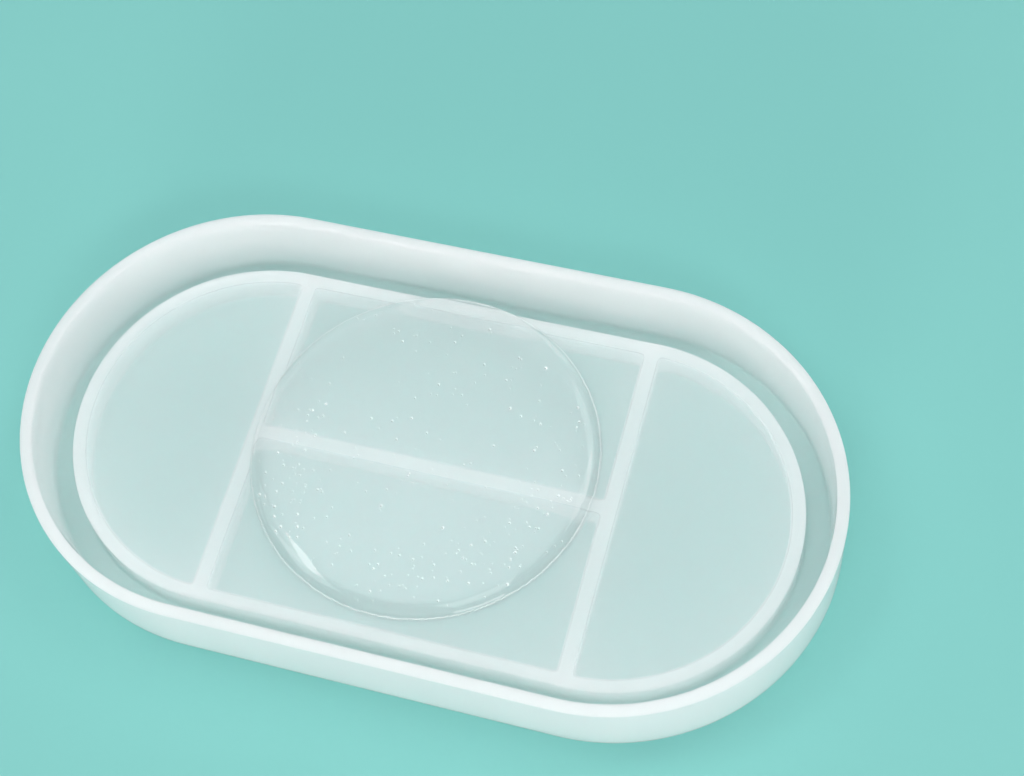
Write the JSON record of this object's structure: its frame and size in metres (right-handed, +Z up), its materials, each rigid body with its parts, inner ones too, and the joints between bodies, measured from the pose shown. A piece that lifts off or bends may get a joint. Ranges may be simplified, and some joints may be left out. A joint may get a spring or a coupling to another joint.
{
  "type": "resin casting mould",
  "caption": "Stadium-shaped tray mould of translucent silicone, with a raised hollow-backed island in a channel and a pool of clear resin on it.",
  "frame": {"origin": "on the bench, under the middle of the mould", "axes": "+X along the mould to its right end, +Y across it to the back, +Z up to the rim"},
  "size_m": [0.2, 0.1084, 0.021],
  "materials": {
    "silicone": "satin, translucent",
    "resin": "clear, wet gloss"
  },
  "bodies": {
    "mould": {"outer_wall": "silicone", "channel_floor": "silicone", "island_wall": "silicone", "island_deck": "silicone", "cross_rib_left": "silicone", "cross_rib_right": "silicone", "centre_rib": "silicone"},
    "casting": {"resin_pool": "resin"}
  },
  "joints": [
    {"name": "casting_lift", "type": "slide", "parent": "mould", "child": "casting", "axis": [0, 0, 1], "range_m": [0, 0.04]}
  ]
}
